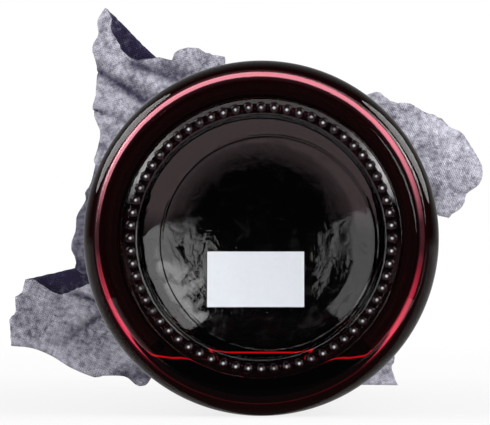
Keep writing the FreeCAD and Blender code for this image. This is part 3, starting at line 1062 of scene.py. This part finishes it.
def mix_light(share, first, second):
    """Light that goes from the first to the second as the share goes from 0 to 1."""
    return add_node(share.tree, "ShaderNodeMixShader", [share, first, second])


# The camera sees a white floor with the bottle's shadow. Mirrored in the glass, the floor is dark close
# under the base, faint behind it and not there in front.
floor_material, floor_tree = new_material("floor")
floor_camera, floor_glossy, floor_through = ray_kinds(floor_tree)
floor_place = add_node(floor_tree, "ShaderNodeTexCoord", output="Object")
floor_away = add_node(floor_tree, "ShaderNodeVectorMath", [floor_place], output="Value",
                      operation="LENGTH")
floor_along = floor_place.parts()[1]
in_front = floor_along.under(-10 * MM)
beneath = floor_along.under(8 * MM) - in_front
paper = add_node(floor_tree, "ShaderNodeBsdfDiffuse", {"Color": paper_white})
glow = add_node(floor_tree, "ShaderNodeEmission", {"Color": white, "Strength": 1.0})
shadowed = add_node(floor_tree, "ShaderNodeEmission", {"Color": white, "Strength": 0.03})
clear = add_node(floor_tree, "ShaderNodeBsdfTransparent")
white_share = (0.8 + 0.2 * floor_away.ramp(0, 0.8)) * floor_camera
lit_floor = mix_light(beneath * floor_glossy, mix_light(white_share, paper, glow), shadowed)
mirror_clear = 0.75 + 0.25 * in_front - 0.75 * beneath
floor_seen = mix_light(floor_glossy * mirror_clear + floor_through, lit_floor, clear)
add_node(floor_tree, "ShaderNodeOutputMaterial", {"Surface": floor_seen})
floor_mesh.materials.append(floor_material)

world = bpy.data.worlds.new("studio")
bpy.context.scene.world = world
world.use_nodes = True
sky = world.node_tree
sky.nodes.clear()


def sky_light(strength, colour=white):
    """Light from all of the surroundings."""
    return add_node(sky, "ShaderNodeBackground", {"Color": colour, "Strength": strength})


sky_camera, sky_glossy, sky_through = ray_kinds(sky)
away, up = add_node(sky, "ShaderNodeTexCoord", output="Generated").parts()[1:]

# What the glass mirrors: a dim room, paler behind, with bright strips overhead and at the sides and a pink
# haze low in front.
haze_pink = (1, 0.74, 0.78, 1)
in_strip = away.under(-0.1) - away.under(-0.22)
overhead = up.ramp(0.6, 0.85) * in_strip
at_sides = up.ramp(0.25, 0.45) * up.ramp(0.8, 0.55) * in_strip
haze = away.ramp(-0.7273, -0.5) * away.ramp(-0.1, -0.2) * up.ramp(0, -0.25)
far_room = mix_light(away.ramp(0.2667, 0.9333), sky_light(0.02), sky_light(0.3))
ceiling = mix_light(overhead, far_room, sky_light(1.2))
side_walls = mix_light(at_sides, ceiling, sky_light(6.5))
mirrored = mix_light(haze, side_walls, sky_light(0.98, haze_pink))

# What shows through the heel as a ring: light from behind, weak at the level of the axis, redder below it
# and none below the liquid's top.
ring_light = 1.2
ring_red = (0.88, 0.2, 0.31, 1)
off_level = 0.06 + 0.94 * up.math("ABSOLUTE").ramp(0.0783, 0.487)
over_liquid = up.ramp(-0.5833, -0.5278)
past_heel = away.ramp(0.25, 0.3333) * (1 - 0.95 * away.ramp(0.632, 0.712)) * off_level * over_liquid
ring = mix_light(up.ramp(0, -0.1667), sky_light(ring_light), sky_light(ring_light, ring_red))
through_glass = mix_light(past_heel, sky_light(0.004), ring)

around = mix_light(sky_camera, sky_light(0.4), sky_light(1.0))
backdrop = mix_light(sky_through, mix_light(sky_glossy, around, mirrored), through_glass)
add_node(sky, "ShaderNodeOutputWorld", {"Surface": backdrop})


def soft_box(name, off_axis, around, size, power):
    """A soft box one metre off. off_axis is its angle from the way to the camera, and around is the angle
    that it is turned about the bottle's axis."""
    tilt = math.radians(off_axis)
    turn = math.radians(around)
    reach = math.sin(tilt)
    place = Vector((reach * math.cos(turn), -math.cos(tilt), reach * math.sin(turn)))
    lamp = bpy.data.lights.new(name, "AREA")
    lamp.shape = "ELLIPSE"
    lamp.size = size[0]
    lamp.size_y = size[1]
    lamp.energy = power
    item = bpy.data.objects.new(name, lamp)
    item.location = place
    item.rotation_euler = (-place).to_track_quat("-Z", "Y").to_euler()
    item.visible_camera = False
    item.visible_transmission = False
    bpy.context.scene.collection.objects.link(item)
    return item


soft_box("left_front_box", 61, 164, (0.72, 1.05), 2.7)
soft_box("right_front_box", 60, 24, (0.9, 1.05), 5.7)
soft_box("left_side_box", 104, 143, (0.5, 0.75), 2.9)
soft_box("right_side_box", 104, 33, (0.5, 0.75), 2.9)
fill_box = soft_box("fill_box", 28, 60, (0.5, 0.5), 1.6)
fill_box.visible_glossy = False

# Black card
# A flat card with a round hole, held before the base above the floor. It keeps the front boxes out of the
# heel's reflections and lets the push-up see them through the hole.

card_hole = 52
card_reach = 135
card_before = 20
card_steps = 48
card_shade = (0.003, 0.003, 0.003, 1)
card_mesh = bpy.data.meshes.new("black_card")
card_build = bmesh.new()
rims = []
for radius in (card_hole, card_reach):
    rim = arc((0, 0), radius, -22, 202, card_steps)
    rims.append([card_build.verts.new((x * MM, -card_before * MM, z * MM)) for x, z in rim])
hole_rim, outer_rim = rims
for corner in range(card_steps):
    after = corner + 1
    card_build.faces.new((hole_rim[corner], outer_rim[corner], outer_rim[after], hole_rim[after]))
card_build.to_mesh(card_mesh)
card_build.free()
card_material, card_tree = new_material("black_card")
card_black = add_node(card_tree, "ShaderNodeBsdfDiffuse", {"Color": card_shade})
add_node(card_tree, "ShaderNodeOutputMaterial", {"Surface": card_black})
card_mesh.materials.append(card_material)
card = place_mesh("black_card", card_mesh)
card.visible_camera = False
card.visible_diffuse = False
card.visible_transmission = False
card.visible_shadow = False

# Camera
# A long lens, level with the bottle's axis and looking straight at the base. It is shifted a little so that
# the bow is in the picture.

picture_width = 490
frame_shift = (-16.2, 25.7)
camera_away = 1.18
lens = bpy.data.cameras.new("camera")
lens.lens = 403.3
lens.sensor_width = 36
lens.shift_x = frame_shift[0] / picture_width
lens.shift_y = frame_shift[1] / picture_width
lens.clip_end = 100
camera = bpy.data.objects.new("camera", lens)
camera.location = (0, -camera_away, 0)
camera.rotation_euler = (math.radians(90), 0, 0)
bpy.context.scene.collection.objects.link(camera)
bpy.context.scene.camera = camera
bpy.context.scene.view_settings.view_transform = "Standard"
